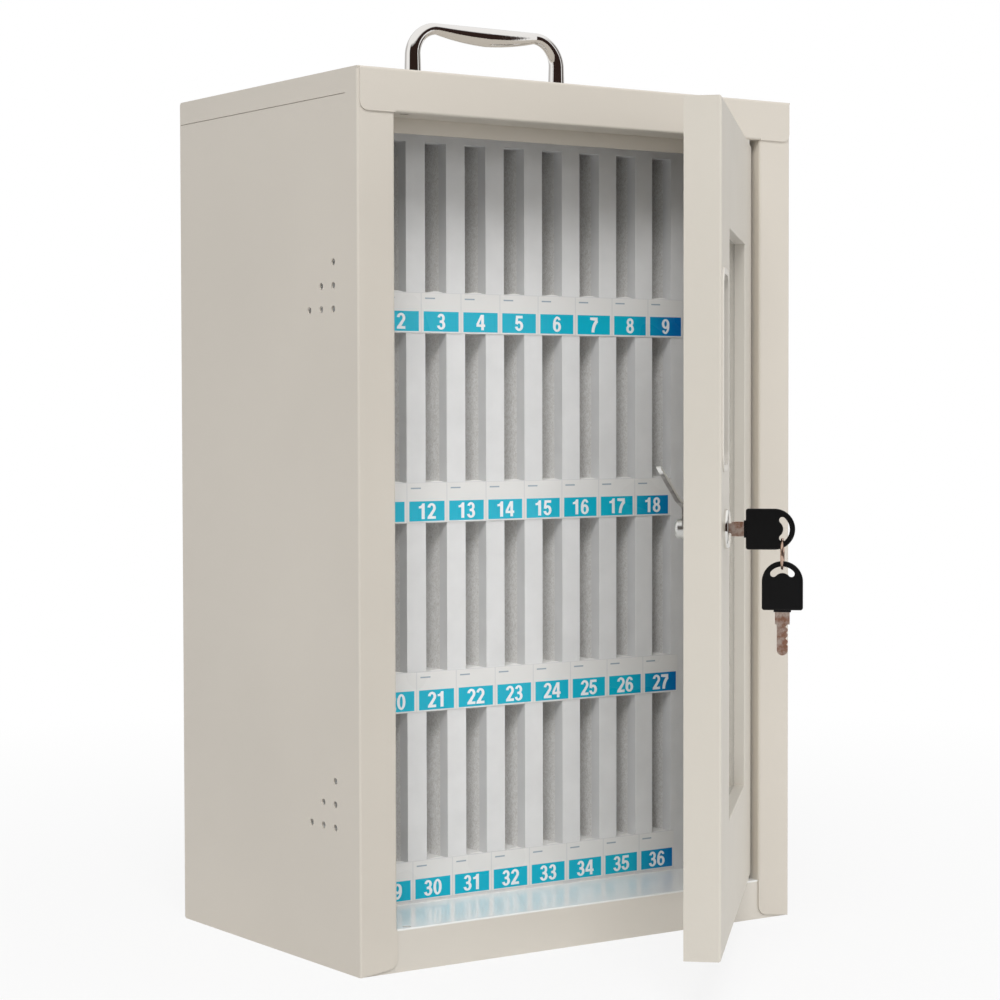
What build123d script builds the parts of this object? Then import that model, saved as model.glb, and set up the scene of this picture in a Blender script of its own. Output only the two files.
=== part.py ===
from build123d import *
from math import cos, radians, sin, sqrt
import os

os.makedirs("parts", exist_ok=True)

# A portable steel box that stores phones on edge in thirty-six numbered slots.
# Millimetres. X runs left to right seen from the front, -Y is the front, +Z is up.
# The origin is the middle of the base, on the surface that the box stands on.

# ---- driving sizes: steel case -------------------------------------------------
case_width = 310.0
case_depth = 208.0
case_height = 500.0
sheet = 1.0
frame_face = 24.0
frame_return = 23.0
stop_lip = 8.5
bend_radius = 1.4
header_corner = 5.0
stile_corner = 6.0
stile_foot = 3.0
lid_flange = 13.5
lid_flange_setback = 14.0
seam_gap = 0.4
lid_lap = 2.0
header_inset = 1.2
back_flange = 12.0
seat_gap = 0.3
overshoot = 1.0

# ---- driving sizes: vent holes -------------------------------------------------
vent_hole = 4.0
vent_pitch = 13.0
vent_from_front = 27.3
vent_rows = 3
vent_lower_z = 79.7
vent_upper_z = 368.5

# ---- driving sizes: door -------------------------------------------------------
door_gap = 3.0
door_thickness = 19.5
door_inset = 1.0
door_edge_radius = 1.4
door_open_angle = 46.4
panel_slack = 0.3
window_side_margin = 60.0
window_end_margin = 63.5
window_recess = 6.2
pane_thickness = 2.0
pane_lap = 7.0
gasket_thickness = 1.0
gasket_width = 5.0

# ---- driving sizes: door pivots ------------------------------------------------
pivot_from_edge = 6.8
pivot_behind_front = 6.7
pivot_pin_radius = 2.0
pivot_running_gap = 0.05
bush_wall = 0.5
bush_collar_radius = 5.0
bush_shank_below = 5.0
pin_in_door = 12.0
pin_in_frame = 4.5
pivot_block_size = 11.0
pin_chamfer = 0.5

# ---- driving sizes: finger pull ------------------------------------------------
pull_from_edge = 25.0
pull_centre_z = 333.0
pull_width = 34.0
pull_height = 99.0
pull_rim = 3.5
pull_rim_proud = 0.8
pull_depth = 13.0
pull_wall = 1.2
pull_corner = 8.0
pull_rim_round = 0.5
pull_floor_round = 2.4

# ---- driving sizes: cam lock ---------------------------------------------------
lock_z = 250.0
lock_head_radius = 10.5
lock_head_proud = 2.6
lock_head_round = 1.6
barrel_radius = 8.5
plug_radius = 5.5
plug_running_gap = 0.05
plug_chamfer = 0.3
lock_nut_across = 22.0
lock_nut_thickness = 4.0
cam_thickness = 2.0
cam_door_gap = 0.5
cam_width = 12.0
cam_flat_reach = 11.0
cam_step_reach = 15.0
cam_step = 3.6
cam_reach = 33.0
cam_rise = 14.0
cam_screw_radius = 5.1
cam_screw_head = 4.0
cam_screw_round = 2.0
tail_radius = 3.5
cam_screw_shank = 1.8

# ---- driving sizes: keys -------------------------------------------------------
bow_radius = 10.7
bow_length = 25.6
bow_thickness = 2.8
bow_edge = 0.7
bow_corner = 1.3
collar_width = 9.0
collar_length = 1.0
key_thickness = 2.0
shoulder_width = 7.6
shoulder_length = 6.4
blade_width = 5.7
blade_length = 16.2
key_slot_gap = 0.2
key_slot_floor = 1.0
key_engaged = 15.2
crescent_radius = 6.2
crescent_half_width = 1.75
crescent_half_angle = 48.6
notch_pitch = 3.1
notch_count = 4
notch_shallow = 0.8
notch_deep = 1.3
ring_radius = 7.6
ring_wire_radius = 0.8

# ---- driving sizes: phone rack -------------------------------------------------
column_count = 9
slat_width = 13.15
left_filler_width = 9.375
right_filler_width = 29.375
row_count = 4
slot_floor_height = 24.4
lowest_slot_z = 50.0
top_rail_height = 29.8
rack_behind_front = 60.0
rack_side_gap = 2.5
rack_top_gap = 1.2
slat_depth = 8.0
slat_seam_z = 202.0
side_board = 11.0
back_board = 4.0
felt_thickness = 2.0
floor_crown = 1.6
label_thickness = 0.5
label_height = 23.6
label_shrink = 0.1
label_gap = 3.3
label_border = 1.4
label_offsets = (11.925, 1.625, 7.925, 4.925)

# ---- driving sizes: carrying handle --------------------------------------------
handle_span = 106.0
handle_top = 45.3
grip_middle_radius = 5.7
grip_quarter_radius = 5.0
grip_neck_radius = 3.4
leg_radius = 4.7
leg_foot_radius = 5.2
handle_corner = 17.0
handle_bend_steps = 3
handle_pivot_height = 8.0
trunnion_radius = 3.5
trunnion_end = 1.0
trunnion_running_gap = 0.06
ear_width = 8.0
ear_depth = 15.0
ear_gap = 0.6
ear_base_width = 20.0
ear_base = 2.0
rivet_radius = 1.6
rivet_head_radius = 3.0
rivet_head = 1.0
rivet_edge = 0.75
rivet_head_round = 0.5
rivet_tail = 0.5

# ---- driving sizes: small fixings ----------------------------------------------
stud_radius = 3.0
stud_bore_depth = 8.0
door_screw_radius = 1.5
door_screw_head_radius = 3.0
door_screw_head = 1.6
bumper_radius = 4.0
bumper_round = 1.0
rack_screw_radius = 2.0
rack_screw_head_radius = 3.6
rack_screw_head = 1.4
rack_screw_length = 14.0
rack_screw_column = 1
rack_screw_inset = 36.0
screw_head_round = 0.5
recess_width = 0.9
screw_slack = 0.3

# ---- planes worked out from the sizes above ------------------------------------
half_width = case_width / 2
front = -case_depth / 2
back = case_depth / 2
stile_front = front + sheet
rail_front = stile_front + sheet
opening_half = half_width - frame_face
opening_top = case_height - frame_face
floor_top = frame_face
stop_back = stile_front + frame_return
stop_front = stop_back - sheet
stop_lip_end = opening_top - stop_lip
lid_seam_z = case_height - lid_flange
lid_flange_front = front + lid_flange_setback
inner_half = half_width - sheet
inner_back = back - sheet


def block(x0, x1, y0, y1, z0, z1):
    """A box between two corners."""
    middle = Pos((x0 + x1) / 2, (y0 + y1) / 2, (z0 + z1) / 2)
    return middle * Box(abs(x1 - x0), abs(y1 - y0), abs(z1 - z0))


def rod(radius, start, end):
    """A round bar from one point to another."""
    axis = Vector(*end) - Vector(*start)
    return Plane(origin=start, z_dir=axis) * extrude(Circle(radius), axis.length)


def facing_front(y):
    """A drawing plane at a depth, seen from the front: X to the right, Z up."""
    return Plane(origin=(0, y, 0), x_dir=(1, 0, 0), z_dir=(0, -1, 0))


def upright(radius, x, y, z0, z1):
    """A round bar along Z."""
    return rod(radius, (x, y, z0), (x, y, z1))


def inward(radius, x, z, y0, y1):
    """A round bar along Y, from the front towards the back."""
    return rod(radius, (x, y0, z), (x, y1, z))


def edges_at(shape, direction, **places):
    """Edges that run along a direction and lie at the named coordinates."""
    found = []
    for edge in shape.edges().filter_by(direction):
        centre = edge.center()
        if all(abs(getattr(centre, axis) - value) < 0.01 for axis, value in places.items()):
            found.append(edge)
    return found


def bend_waste_upright(x, y, x_in, y_in, radius, z0, z1):
    """What an upright bend's outer radius leaves off a square corner at x, y."""
    x_mid = x + x_in * radius
    y_mid = y + y_in * radius
    return block(x, x_mid, y, y_mid, z0, z1) - rod(radius, (x_mid, y_mid, z0), (x_mid, y_mid, z1))


def bend_waste_level(y, z, z_in, radius, x0, x1):
    """What a level bend's outer radius leaves off a square front corner at y, z."""
    y_mid = y + radius
    z_mid = z + z_in * radius
    return block(x0, x1, y, y_mid, z, z_mid) - rod(radius, (x0, y_mid, z_mid), (x1, y_mid, z_mid))


def mirrored(shape):
    """The same piece for the other side of the box."""
    return shape.mirror(Plane.YZ)


def save(node, *solids):
    """Write one node, of one solid or of a group of alike solids."""
    shape = solids[0] if len(solids) == 1 else Compound(children=list(solids))
    export_step(shape, f"parts/{node}.step")


def pivot_holes(z0, z1):
    """A hole for the door's pivot, and its unused twin for a door of the other hand."""
    hole = upright(bush_radius, pivot_x, pivot_y, z0, z1)
    return hole + mirrored(hole)


# ---- top panel: top, header, header return, stop lip and side flanges -----------
def top_panel():
    top = block(-half_width, half_width, front, inner_back, case_height - sheet, case_height)
    header_half = half_width - header_inset
    header = block(-header_half, header_half, front, stile_front, opening_top, case_height)
    header = fillet(edges_at(header, Axis.Y, Z=opening_top), header_corner)
    ledge = block(-opening_half, opening_half, front, stop_back, opening_top, opening_top + sheet)
    lip = block(-opening_half, opening_half, stop_front, stop_back, stop_lip_end, opening_top + sheet)
    panel = top + header + ledge + lip
    for side in (-1, 1):
        outer = side * half_width
        panel += block(outer, outer - side * sheet, lid_flange_front, inner_back, lid_seam_z, case_height)
        panel -= block(outer, outer - side * header_inset, front, stile_front, opening_top, case_height)
    rear_half = half_width - sheet - back_flange
    panel += block(-rear_half, rear_half, inner_back - sheet, inner_back, lid_seam_z, case_height)
    panel -= bend_waste_level(front, case_height, -1, bend_radius, -half_width, half_width)
    panel -= bend_waste_level(front, opening_top, 1, bend_radius, -opening_half, opening_half)
    panel -= pivot_holes(opening_top - overshoot, opening_top + sheet + overshoot)
    for x, y in ear_rivet_places():
        panel -= upright(rivet_radius, x, y, case_height - sheet - overshoot, case_height + overshoot)
    return panel


# ---- side panels: wall, stile, stile return, stop lip and rear flange -----------
def vent_places(lowest_z):
    """A right triangle of vent holes, widest along its lowest row."""
    return [
        (front + vent_from_front + column * vent_pitch, lowest_z + row * vent_pitch)
        for row in range(vent_rows)
        for column in range(vent_rows - row)
    ]


def right_panel():
    inside = inner_half
    top_under = case_height - sheet
    wall_top = lid_seam_z - seam_gap
    wall = block(inside, half_width, stile_front, inner_back, 0, wall_top)
    wall += block(inside, half_width, stile_front, lid_flange_front, 0, top_under)
    tongue = block(inside - sheet, inside, lid_flange_front - lid_lap, inner_back - sheet,
                   wall_top - lid_lap, top_under)
    outline = Polyline((half_width, 0), (opening_half, stile_foot), (opening_half, top_under),
                       (half_width, top_under), close=True)
    stile = extrude(facing_front(rail_front) * make_face(outline), sheet)
    stile = fillet(edges_at(stile, Axis.Y, X=opening_half, Z=stile_foot), stile_corner)
    jamb = block(opening_half, opening_half + sheet, stile_front, stop_back, floor_top, opening_top)
    lip = block(opening_half - stop_lip, opening_half + sheet, stop_front, stop_back,
                floor_top, stop_lip_end)
    rear = block(inside - back_flange, half_width, inner_back - sheet, inner_back, sheet, wall_top)
    panel = wall + tongue + stile + jamb + lip + rear
    panel -= bend_waste_upright(half_width, stile_front, -1, 1, bend_radius, 0, case_height)
    panel -= bend_waste_upright(opening_half, stile_front, 1, 1, bend_radius, floor_top, opening_top)
    for y, z in vent_places(vent_lower_z) + vent_places(vent_upper_z):
        panel -= rod(vent_hole / 2, (inside - overshoot, y, z), (half_width + overshoot, y, z))
    return panel


# ---- floor panel: raised floor with the front rail ------------------------------
def floor_panel():
    side = inner_half
    floor = block(-side, side, rail_front, inner_back - sheet, floor_top - sheet, floor_top)
    rail = block(-side, side, rail_front, rail_front + sheet, 0, floor_top)
    rear_half = side - back_flange
    rear = block(-rear_half, rear_half, inner_back - sheet, inner_back, sheet, floor_top)
    panel = floor + rail + rear
    for hand in (-1, 1):
        panel += block(hand * side, hand * (side - sheet), rail_front, inner_back - sheet, sheet, floor_top)
    panel = fillet(edges_at(panel, Axis.X, Y=rail_front, Z=floor_top), bend_radius / 2)
    return panel - pivot_holes(floor_top - sheet - overshoot, floor_top + overshoot)


# ---- base cover and back panel --------------------------------------------------
def base_cover():
    side = inner_half
    return block(-side, side, rail_front + sheet, inner_back, 0, sheet)


def back_panel():
    panel = block(-half_width, half_width, inner_back, back, 0, case_height)
    panel = fillet(panel.edges().filter_by(Axis.Y), bend_radius)
    for x, z in rack_screw_places():
        panel -= inward(rack_screw_radius + screw_slack, x, z, inner_back - overshoot, back + overshoot)
    return panel


# ---- door, built closed and then swung to its photographed angle -----------------
door_left = -opening_half + door_gap
door_right = opening_half - door_gap
door_bottom = floor_top + door_gap
door_top = opening_top - door_gap
door_front = front + door_inset
door_rear = door_front + door_thickness
pivot_x = door_right - pivot_from_edge
pivot_y = front + pivot_behind_front
bush_radius = pivot_pin_radius + pivot_running_gap + bush_wall
window_left = door_left + window_side_margin
window_right = door_right - window_side_margin
window_bottom = door_bottom + window_end_margin
window_top = door_top - window_end_margin
pull_x = door_left + pull_from_edge
pivot_axis = Axis((pivot_x, pivot_y, 0), (0, 0, 1))


def swung(shape):
    """Turn a piece of the closed door about its pivots to the open angle."""
    return shape.rotate(pivot_axis, door_open_angle)


def frame_between(outer, inner, y0, y1):
    """A rectangular frame, from (left, right, bottom, top) outside and inside."""
    body = block(outer[0], outer[1], y0, y1, outer[2], outer[3])
    return body - block(inner[0], inner[1], y0 - overshoot, y1 + overshoot, inner[2], inner[3])


def grown(box, step):
    """A rectangle (left, right, bottom, top) moved out by a step on every side."""
    return (box[0] - step, box[1] + step, box[2] - step, box[3] + step)


door_box = (door_left, door_right, door_bottom, door_top)
window_box = (window_left, window_right, window_bottom, window_top)


def pull_outline(growth):
    return RectangleRounded(pull_width + 2 * growth, pull_height + 2 * growth, pull_corner + growth)


def pull_solid(growth, y0, y1):
    """The finger pull's outline as a bar between two depths."""
    start = Plane(origin=(pull_x, y0, pull_centre_z), x_dir=(1, 0, 0), z_dir=(0, 1, 0))
    return extrude(start * pull_outline(growth), y1 - y0)


def door_skin():
    face = block(door_left, door_right, door_front, door_front + sheet, door_bottom, door_top)
    rim = frame_between(door_box, grown(door_box, -sheet), door_front, door_rear)
    skin = face + rim
    corners = []
    for x in (door_left, door_right):
        corners += edges_at(skin, Axis.Z, X=x, Y=door_front)
    for z in (door_bottom, door_top):
        corners += edges_at(skin, Axis.X, Z=z, Y=door_front)
    skin = fillet(corners, door_edge_radius)
    jamb = frame_between(grown(window_box, sheet), window_box, door_front, door_front + window_recess)
    skin -= block(window_left, window_right, door_front - overshoot, door_rear, window_bottom, window_top)
    skin += jamb
    skin = fillet(window_arris(skin), door_edge_radius / 2)
    skin -= pull_solid(pull_wall + panel_slack, door_front - overshoot, door_front + sheet + overshoot)
    skin -= inward(barrel_radius + panel_slack, pull_x, lock_z, door_front - overshoot, door_rear)
    for z in (door_bottom, door_top):
        skin -= upright(pivot_pin_radius + pivot_running_gap, pivot_x, pivot_y,
                        z - sheet - overshoot, z + sheet + overshoot)
    return skin


def window_arris(skin):
    """The outer edges of the window opening."""
    found = []
    for x in (window_left, window_right):
        found += edges_at(skin, Axis.Z, X=x, Y=door_front)
    for z in (window_bottom, window_top):
        found += edges_at(skin, Axis.X, Z=z, Y=door_front)
    return found


pane_front = door_front + window_recess
pane_rear = pane_front + pane_thickness
gasket_rear = pane_rear + gasket_thickness


def door_liner():
    inside = grown(door_box, -sheet)
    plate = frame_between(inside, window_box, door_rear - sheet, door_rear)
    collar = frame_between(grown(window_box, sheet), window_box, gasket_rear, door_rear)
    liner = plate + collar
    liner -= inward(barrel_radius + panel_slack, pull_x, lock_z, door_front, door_rear + overshoot)
    for x, z in door_screw_places():
        liner -= inward(door_screw_radius, x, z, door_rear - sheet - overshoot, door_rear + overshoot)
    return liner


def door_screw_places():
    """Six fixings of the door's inner liner, clear of the window, pull and lock."""
    columns = ((door_left + window_left) / 2, (door_right + window_right) / 2)
    low = (door_bottom + window_bottom) / 2
    high = (door_top + window_top) / 2
    middle = (low + high) / 2 - 2 * lock_nut_across
    return [(x, z) for x in columns for z in (low, middle, high)]


def door_studs():
    studs = []
    for x, z in door_screw_places():
        stud = inward(stud_radius, x, z, door_front + sheet, door_rear - sheet)
        studs.append(stud - inward(door_screw_radius, x, z, door_rear - sheet - stud_bore_depth, door_rear))
    return studs


def door_screws():
    screws = []
    for x, z in door_screw_places():
        shank = inward(door_screw_radius, x, z, door_rear - stud_bore_depth, door_rear)
        head = inward(door_screw_head_radius, x, z, door_rear, door_rear + door_screw_head)
        head = fillet(head.edges().group_by(Axis.Y)[-1], screw_head_round)
        head -= cross_recess(x, z, door_rear + door_screw_head / 2, door_screw_head_radius)
        screws.append(shank + head)
    return screws


def cross_recess(x, z, y, length):
    """The cross cut for a screwdriver, open towards the back."""
    cross = Rectangle(length, recess_width) + Rectangle(recess_width, length)
    return extrude(Plane(origin=(x, y, z), z_dir=(0, 1, 0)) * cross, length)


def window_pane():
    outer = grown(window_box, pane_lap)
    return block(outer[0], outer[1], pane_front, pane_rear, outer[2], outer[3])


def window_gasket():
    inner = window_box
    return frame_between(grown(inner, gasket_width), inner, pane_rear, gasket_rear)


def finger_pull():
    rim = pull_solid(pull_rim, door_front - pull_rim_proud, door_front)
    rim = fillet(rim.faces().sort_by(Axis.Y)[0].edges(), pull_rim_round)
    cup = pull_solid(pull_wall, door_front - pull_rim_proud / 2, door_front + pull_depth)
    cup = fillet(cup.faces().sort_by(Axis.Y)[-1].edges(), pull_floor_round + pull_wall)
    hollow = pull_solid(0, door_front - pull_rim_proud - overshoot, door_front + pull_depth - pull_wall)
    hollow = fillet(hollow.faces().sort_by(Axis.Y)[-1].edges(), pull_floor_round)
    return rim + cup - hollow


def stop_bumpers():
    """Pads on the left stop lip, which the door's free edge closes against."""
    x = -opening_half + stop_lip / 2
    inset = window_end_margin / 2
    pads = []
    for z in (door_bottom + inset, door_top - inset):
        pad = inward(bumper_radius, x, z, door_rear + seat_gap, stop_front)
        pads.append(fillet(pad.edges().group_by(Axis.Y)[0], bumper_round))
    return pads


# ---- pivots at the top and bottom of the door ------------------------------------
def hinge_bushes():
    bushes = []
    for seat, away in ((floor_top, 1), (opening_top, -1)):
        collar_end = seat + away * (door_gap - seat_gap)
        shank_end = seat - away * bush_shank_below
        bore = upright(pivot_pin_radius + pivot_running_gap, pivot_x, pivot_y,
                       collar_end + away * overshoot, shank_end - away * overshoot)
        collar = upright(bush_collar_radius, pivot_x, pivot_y, seat, collar_end)
        shank = upright(bush_radius, pivot_x, pivot_y, seat, shank_end)
        bushes.append(collar + shank - bore)
    return bushes


def hinge_pins():
    pins = []
    for edge, away in ((door_bottom, -1), (door_top, 1)):
        inner = edge - away * pin_in_door
        outer = edge + away * (door_gap + pin_in_frame)
        pin = upright(pivot_pin_radius, pivot_x, pivot_y, inner, outer)
        pins.append(chamfer(pin.edges().group_by(Axis.Z)[0 if away < 0 else -1], pin_chamfer))
    return pins


def pivot_blocks():
    blocks = []
    x0 = door_right - sheet - pivot_block_size
    y0 = door_front + sheet
    for edge, away in ((door_bottom, 1), (door_top, -1)):
        near = edge + away * sheet
        far = edge + away * (pin_in_door + sheet)
        body = block(x0, door_right - sheet, y0, y0 + pivot_block_size, near, far)
        pin_end = edge + away * pin_in_door
        body -= upright(pivot_pin_radius, pivot_x, pivot_y, near - away * overshoot, pin_end)
        blocks.append(body)
    return blocks


# ---- cam lock ----------------------------------------------------------------------
lock_face = door_front - lock_head_proud
cam_front = door_rear + cam_door_gap
cam_rear = cam_front + cam_thickness
key_slot_end = lock_face + key_engaged + seat_gap
cam_screw_start = key_slot_end + key_slot_floor


def lock_barrel():
    head = inward(lock_head_radius, pull_x, lock_z, lock_face, door_front)
    head = fillet(head.edges().group_by(Axis.Y)[0], lock_head_round)
    body = inward(barrel_radius, pull_x, lock_z, door_front, door_rear)
    bore_radius = plug_radius + plug_running_gap
    return head + body - inward(bore_radius, pull_x, lock_z, lock_face - overshoot, door_rear + overshoot)


def lock_nut():
    start = Plane(origin=(pull_x, door_front + sheet, lock_z), z_dir=(0, 1, 0))
    nut = extrude(start * RegularPolygon(lock_nut_across / 2, 6, major_radius=False), lock_nut_thickness)
    return nut - inward(barrel_radius, pull_x, lock_z, door_front, door_rear)


def lock_plug():
    plug = inward(plug_radius, pull_x, lock_z, lock_face, cam_front)
    plug = chamfer(plug.edges().group_by(Axis.Y)[0], plug_chamfer)
    plug += inward(tail_radius, pull_x, lock_z, cam_front, cam_rear)
    half_slot = key_thickness / 2 + key_slot_gap
    half_tall = blade_width / 2 + key_slot_gap
    plug -= block(pull_x - half_slot, pull_x + half_slot, lock_face - overshoot, key_slot_end,
                  lock_z - half_tall, lock_z + half_tall)
    return plug - inward(cam_screw_shank, pull_x, lock_z, cam_screw_start, cam_rear + overshoot)


def strip_outline(line, thickness):
    """The outline of a bent strip from the points of its middle line, with square bends."""
    runs = [(Vector(b) - Vector(a)).normalized() for a, b in zip(line, line[1:])]
    near, far = [], []
    for (y, z), before, after in zip(line, runs[:1] + runs, runs + runs[-1:]):
        along = (before + after).normalized()
        reach = thickness / 2 / along.dot(after)
        near.append((y - along.Y * reach, z + along.X * reach))
        far.append((y + along.Y * reach, z - along.X * reach))
    return near + far[::-1]


def lock_cam():
    """A strip with two bends: flat at the lock, a step back, then a lean behind the stop lip."""
    middle = cam_front + cam_thickness / 2
    line = [
        (middle, lock_z - cam_width / 2),
        (middle, lock_z + cam_flat_reach),
        (middle + cam_step, lock_z + cam_step_reach),
        (middle + cam_rise, lock_z + cam_reach),
    ]
    profile = [(pull_x - cam_width / 2, y, z) for y, z in strip_outline(line, cam_thickness)]
    strip = extrude(make_face(Polyline(*profile, close=True)), cam_width, dir=(1, 0, 0))
    outline = SlotCenterToCenter(cam_reach - cam_width / 2, cam_width)
    start = Plane(origin=(pull_x, door_rear, lock_z + (cam_reach - cam_width / 2) / 2),
                  x_dir=(0, 0, 1), z_dir=(0, 1, 0))
    cutter = extrude(start * outline, cam_reach)
    return (strip & cutter) - inward(tail_radius, pull_x, lock_z, door_rear, cam_rear + overshoot)


def cam_screw():
    shank = inward(cam_screw_shank, pull_x, lock_z, cam_screw_start, cam_rear)
    head = inward(cam_screw_radius, pull_x, lock_z, cam_rear, cam_rear + cam_screw_head)
    head = fillet(head.edges().group_by(Axis.Y)[-1], cam_screw_round)
    return shank + head - cross_recess(pull_x, lock_z, cam_rear + cam_screw_head / 2, cam_screw_radius)


# ---- keys ------------------------------------------------------------------------
def key_frame(bow_middle, out):
    """The key's own plane: first axis from the blade's tip to the bow's round end."""
    return Plane(origin=bow_middle, x_dir=out, z_dir=(1, 0, 0))


bow_back = bow_length - bow_radius
bow_start = bow_back + collar_length + shoulder_length + blade_length


def bow_outline():
    """A square end and a round end, with a crescent hole that follows the round end."""
    outline = Circle(bow_radius)
    outline += Pos(-bow_back / 2, 0) * Rectangle(bow_back, 2 * bow_radius)
    return fillet(outline.vertices().group_by(Axis.X)[0], bow_corner)


def crescent():
    """The hole in the bow: a slot bent round the bow's middle, with round ends."""
    tip = radians(crescent_half_angle)
    inner = crescent_radius - crescent_half_width
    outer = crescent_radius + crescent_half_width
    far = 2 * outer
    band = Circle(outer) - Circle(inner)
    wedge = Polygon((0, 0), (far * cos(tip), -far * sin(tip)), (far, 0), (far * cos(tip), far * sin(tip)),
                    align=None)
    slot = band & wedge
    for side in (-1, 1):
        end = Pos(crescent_radius * cos(tip), side * crescent_radius * sin(tip))
        slot += end * Circle(crescent_half_width)
    return slot


def key_bow(frame):
    grip = frame * Pos(0, 0, -bow_thickness / 2) * extrude(bow_outline(), bow_thickness)
    flats = grip.faces().sort_by(Axis.X)
    grip = fillet(flats[0].edges() + flats[-1].edges(), bow_edge)
    collar = frame * Pos(-bow_back - collar_length / 2, 0, 0)
    grip += collar * Box(collar_length, collar_width, bow_thickness - bow_edge)
    grip -= collar * Box(collar_length, shoulder_width, key_thickness)
    return grip - frame * Pos(0, 0, -bow_thickness) * extrude(crescent(), 2 * bow_thickness)


def key_blade(frame):
    shoulder_middle = -bow_back - collar_length / 2 - shoulder_length / 2
    shoulder = Pos(shoulder_middle, 0) * Rectangle(collar_length + shoulder_length, shoulder_width)
    shoulder_end = -bow_back - collar_length - shoulder_length
    tip_middle = shoulder_end - blade_length + blade_width / 2
    blade = Pos((shoulder_end + tip_middle) / 2, 0) * Rectangle(shoulder_end - tip_middle, blade_width)
    outline = shoulder + blade + Pos(tip_middle, 0) * Circle(blade_width / 2)
    for step in range(notch_count):
        depth = notch_deep if step % 2 else notch_shallow
        place = Pos(tip_middle + blade_width / 2 + step * notch_pitch, blade_width / 2)
        outline -= place * Polygon((-depth, 0), (0, -depth), (depth, 0), align=None)
    return frame * Pos(0, 0, -key_thickness / 2) * extrude(outline, key_thickness)


key_bow_y = lock_face + key_engaged - bow_start
key_out = (0, -1, 0)
main_frame = key_frame((pull_x, key_bow_y, lock_z), key_out)
tip_angle = radians(crescent_half_angle)
ring_y = key_bow_y - crescent_radius * cos(tip_angle)
ring_top_z = (lock_z - crescent_radius * sin(tip_angle)
              - (crescent_half_width - ring_wire_radius - seat_gap))
ring_low_z = ring_top_z - 2 * ring_radius
spare_drop = crescent_radius + crescent_half_width - ring_wire_radius - seat_gap
spare_frame = key_frame((pull_x, ring_y, ring_low_z - spare_drop), (0, 0, 1))


def key_ring():
    middle = Plane(origin=(pull_x, ring_y, ring_top_z - ring_radius), z_dir=(0, 1, 0))
    return middle * Torus(ring_radius, ring_wire_radius)


# ---- phone rack --------------------------------------------------------------------
rack_front = front + rack_behind_front
rack_rear = inner_back - sheet
slat_rear = rack_front + slat_depth
slot_rear = rack_rear - back_board
rack_top = case_height - sheet - rack_top_gap
rack_left = -inner_half + rack_side_gap
rack_right_end = inner_half - rack_side_gap
first_rib_x = rack_left + left_filler_width
last_rib_x = rack_right_end - right_filler_width
column_pitch = (last_rib_x - slat_width - first_rib_x) / column_count
slot_width = column_pitch - slat_width
rack_right = last_rib_x + side_board
top_slot_z = rack_top - top_rail_height
row_pitch = (top_slot_z - lowest_slot_z + slot_floor_height) / row_count
slot_height = row_pitch - slot_floor_height
label_pitch = column_pitch - label_shrink


def rib_left(column):
    return first_rib_x + column * column_pitch


def slats(low_z, high_z):
    """The ten upright slats at the front of the rack, over part of its height."""
    return [
        block(rib_left(c), rib_left(c) + slat_width, rack_front, slat_rear, low_z, high_z)
        for c in range(column_count + 1)
    ]


def front_board(x0, x1, z0, z1):
    """A plain board in the plane of the slats."""
    return block(x0, x1, rack_front, slat_rear, z0, z1)


def partitions():
    boards = []
    for c in range(column_count + 1):
        x0 = rib_left(c) + felt_thickness
        x1 = rib_left(c) + slat_width - felt_thickness
        board = block(x0, x1, slat_rear, slot_rear, floor_top, rack_top)
        for x, z in rack_screw_places():
            if x0 < x < x1:
                board -= inward(rack_screw_radius, x, z, back - rack_screw_length, slot_rear + overshoot)
        boards.append(board)
    return boards


def felt_sheets(side):
    """The felt on one side of each partition: side 0 is the left face, 1 the right."""
    sheets = []
    for c in range(1 - side, column_count + 1 - side):
        x0 = rib_left(c) + side * (slat_width - felt_thickness)
        sheets.append(block(x0, x0 + felt_thickness, slat_rear, slot_rear, floor_top, rack_top))
    return sheets


def end_packers():
    """Fill strips that take the place of felt beside the two end boards."""
    first = rib_left(0)
    last = rib_left(column_count) + slat_width
    return [
        block(first, first + felt_thickness, slat_rear, slot_rear, floor_top, rack_top),
        block(last - felt_thickness, last, slat_rear, slot_rear, floor_top, rack_top),
    ]


def slot_floors(row):
    """The block under each slot of a row, with a crown along its top."""
    top = lowest_slot_z + row * row_pitch
    bottom = floor_top if row == 0 else top - slot_floor_height
    blocks = []
    for c in range(column_count):
        x0 = rib_left(c) + slat_width
        x1 = x0 + slot_width
        sides = Polyline((x0, top - floor_crown), (x0, bottom), (x1, bottom), (x1, top - floor_crown))
        crown = ThreePointArc((x1, top - floor_crown), ((x0 + x1) / 2, top), (x0, top - floor_crown))
        outline = facing_front(rack_front) * make_face(sides + crown)
        blocks.append(extrude(outline, slot_rear - rack_front, dir=(0, 1, 0)))
    return blocks


def label_strip(row):
    """The printed strip over the slot floors of a row; row 0 is the lowest."""
    first = first_rib_x + label_offsets[row_count - 1 - row]
    width = column_count * label_pitch - label_gap
    top = lowest_slot_z + row * row_pitch - floor_crown / 2
    x0 = first - label_border
    x1 = first + width + label_border
    return block(x0, x1, rack_front - label_thickness, rack_front, top - label_height, top)


def rack_screw_places():
    """Fixings through the back panel and the back board into two of the partitions."""
    columns = (rack_screw_column, column_count - rack_screw_column)
    rows = (floor_top + rack_screw_inset, rack_top - rack_screw_inset)
    return [(rib_left(c) + slat_width / 2, z) for c in columns for z in rows]


def rack_screws():
    screws = []
    for x, z in rack_screw_places():
        head = inward(rack_screw_head_radius, x, z, back, back + rack_screw_head)
        head = fillet(head.edges().group_by(Axis.Y)[-1], screw_head_round)
        head -= cross_recess(x, z, back + rack_screw_head / 2, rack_screw_head_radius)
        screws.append(head + inward(rack_screw_radius, x, z, back, back - rack_screw_length))
    return screws


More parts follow.
